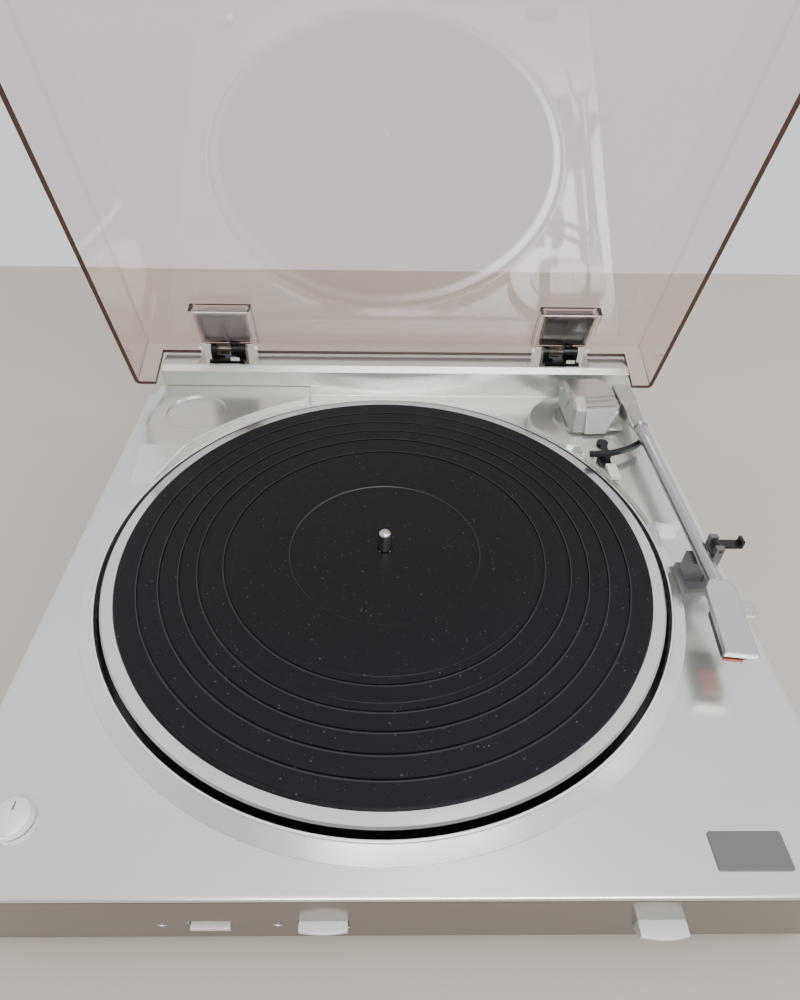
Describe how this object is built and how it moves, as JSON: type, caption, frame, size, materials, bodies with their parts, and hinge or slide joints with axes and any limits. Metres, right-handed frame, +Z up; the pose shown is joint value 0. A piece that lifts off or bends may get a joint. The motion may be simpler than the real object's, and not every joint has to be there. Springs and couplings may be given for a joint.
{
  "type": "record player",
  "caption": "Record player with a spinning belt-driven platter, a low straight tonearm that swings and lifts, front keys and a hinged smoked clear lid.",
  "frame": {"origin": "centre of the open player's bounding box, on the surface it stands on", "axes": "+Z up, +X to the right seen from the front, +Y towards the rear; the front face with the keys looks along -Y"},
  "size_m": [0.381, 0.3864, 0.4432],
  "materials": {
    "housing": "satin silver lacquer",
    "bright_ring": "bright silver",
    "black_plastic": "black moulded",
    "grey_plastic": "dark grey moulded",
    "white_plastic": "natural white moulded",
    "silver_plastic": "silver moulded",
    "rubber": "matt",
    "mat_rubber": "ribbed matt",
    "platter_alloy": "turned",
    "arm_alloy": "satin",
    "silver_alloy": "satin",
    "steel": "bright",
    "dark_steel": "plain",
    "chrome": "polished",
    "brass": "turned",
    "smoked_clear": "smoked clear acrylic",
    "board": "laminate",
    "stylus_red": "moulded"
  },
  "bodies": {
    "base": {"plinth": "housing", "platter_ring": "bright_ring", "bottom_cover": "black_plastic", "feet": "rubber", "cover_screws": "steel", "rear_panel": "grey_plastic", "phono_sockets": "brass", "ground_post": "steel", "cord_gland": "rubber", "bearing_bush": "brass", "thrust_ball": "chrome", "motor": "dark_steel", "motor_plate": "dark_steel", "motor_grommets": "rubber", "motor_screws": "steel", "circuit_board": "board", "transformer": "dark_steel", "control_board": "board", "key_bracket": "grey_plastic", "arm_base": "silver_alloy", "arm_rest": "grey_plastic", "lifter_post": "silver_plastic", "badge_plate": "grey_plastic", "hinge_bases": "black_plastic", "hinge_screws": "steel", "hinge_pins": "steel", "hinge_springs": "steel", "cam_axle": "steel", "drive_belt": "rubber"},
    "turntable": {"platter": "platter_alloy", "mat": "mat_rubber", "spindle": "chrome", "hub_gear": "white_plastic"},
    "pulley": {"motor_pulley": "brass"},
    "cam": {"cam_gear": "white_plastic"},
    "lid": {"lid": "smoked_clear", "hinge_tongues": "grey_plastic"},
    "arm_swing": {"arm_housing": "silver_plastic", "arm_front_cover": "silver_plastic", "arm_pivot_shaft": "steel", "arm_return_lever": "steel"},
    "arm_lift": {"arm_lift_axle": "steel", "arm_block": "silver_plastic", "counterweight": "dark_steel", "arm_tube": "arm_alloy", "headshell": "silver_plastic", "cartridge": "black_plastic", "stylus": "stylus_red"},
    "lifter": {"lifter_bar": "black_plastic"},
    "cue": {"cue_lever": "black_plastic", "cue_tip": "silver_plastic"},
    "stop_key": {"stop_key": "silver_plastic", "stop_spring": "steel"},
    "start_key": {"start_key": "silver_plastic", "start_spring": "steel"},
    "speed_key": {"speed_key": "silver_plastic"},
    "trimmer_33": {"pitch_trimmer_33": "white_plastic"},
    "trimmer_45": {"pitch_trimmer_45": "white_plastic"},
    "size_knob": {"size_knob": "silver_plastic"},
    "rest_clip": {"rest_clip": "black_plastic"}
  },
  "joints": [
    {"name": "platter_spin", "type": "hinge", "parent": "base", "child": "turntable", "pos_m": [-0.0073, -0.01016, 0.066], "axis": [0, 0, 1], "continuous": true},
    {"name": "pulley_spin", "type": "hinge", "parent": "base", "child": "pulley", "pos_m": [-0.0953, 0.07784, 0.046], "axis": [0, 0, 1], "continuous": true},
    {"name": "cam_turn", "type": "hinge", "parent": "base", "child": "cam", "pos_m": [-0.0073, -0.05476, 0.044], "axis": [0, 0, 1], "continuous": true},
    {"name": "lid_hinge", "type": "hinge", "parent": "base", "child": "lid", "pos_m": [0, 0.18384, 0.0825], "axis": [1, 0, 0], "range_deg": [0, 73.2]},
    {"name": "arm_swing", "type": "hinge", "parent": "base", "child": "arm_swing", "pos_m": [0.1287, 0.12084, 0.066], "axis": [0, 0, -1], "range_deg": [0, 40]},
    {"name": "arm_lift", "type": "hinge", "parent": "arm_swing", "child": "arm_lift", "pos_m": [0.1507, 0.12784, 0.0745], "axis": [1, 0, 0], "range_deg": [-8, 0]},
    {"name": "cue_lever_tilt", "type": "hinge", "parent": "base", "child": "cue", "pos_m": [0.1365, 0.07384, 0.0664], "axis": [-1, 0, 0], "range_deg": [0, 10]},
    {"name": "lifter_slide", "type": "slide", "parent": "base", "child": "lifter", "axis": [0, 0, 1], "range_m": [-0.0012, 0]},
    {"name": "stop_press", "type": "slide", "parent": "base", "child": "stop_key", "axis": [0, 1, 0], "range_m": [0, 0.0025], "stiffness_N_per_m": 400},
    {"name": "start_press", "type": "slide", "parent": "base", "child": "start_key", "axis": [0, 1, 0], "range_m": [0, 0.0025], "stiffness_N_per_m": 400},
    {"name": "speed_press", "type": "slide", "parent": "base", "child": "speed_key", "axis": [0, 1, 0], "range_m": [0, 0.002], "stiffness_N_per_m": 400},
    {"name": "trim_33_turn", "type": "hinge", "parent": "base", "child": "trimmer_33", "pos_m": [-0.0961, -0.18516, 0.0297], "axis": [0, 1, 0], "range_deg": [-120, 120]},
    {"name": "trim_45_turn", "type": "hinge", "parent": "base", "child": "trimmer_45", "pos_m": [-0.0497, -0.18516, 0.0297], "axis": [0, 1, 0], "range_deg": [-120, 120]},
    {"name": "size_turn", "type": "hinge", "parent": "base", "child": "size_knob", "pos_m": [-0.1573, -0.15616, 0.0565], "axis": [0, 0, 1], "range_deg": [0, 90]},
    {"name": "clip_turn", "type": "hinge", "parent": "base", "child": "rest_clip", "pos_m": [0.1702, -0.02316, 0.0832], "axis": [0, -1, 0], "range_deg": [0, 180]}
  ],
  "couplings": [
    {"joint": "pulley_spin", "follows": "platter_spin", "ratio": 9},
    {"joint": "cue_lever_tilt", "follows": "lifter_slide", "rad_per_m": -145.44}
  ]
}
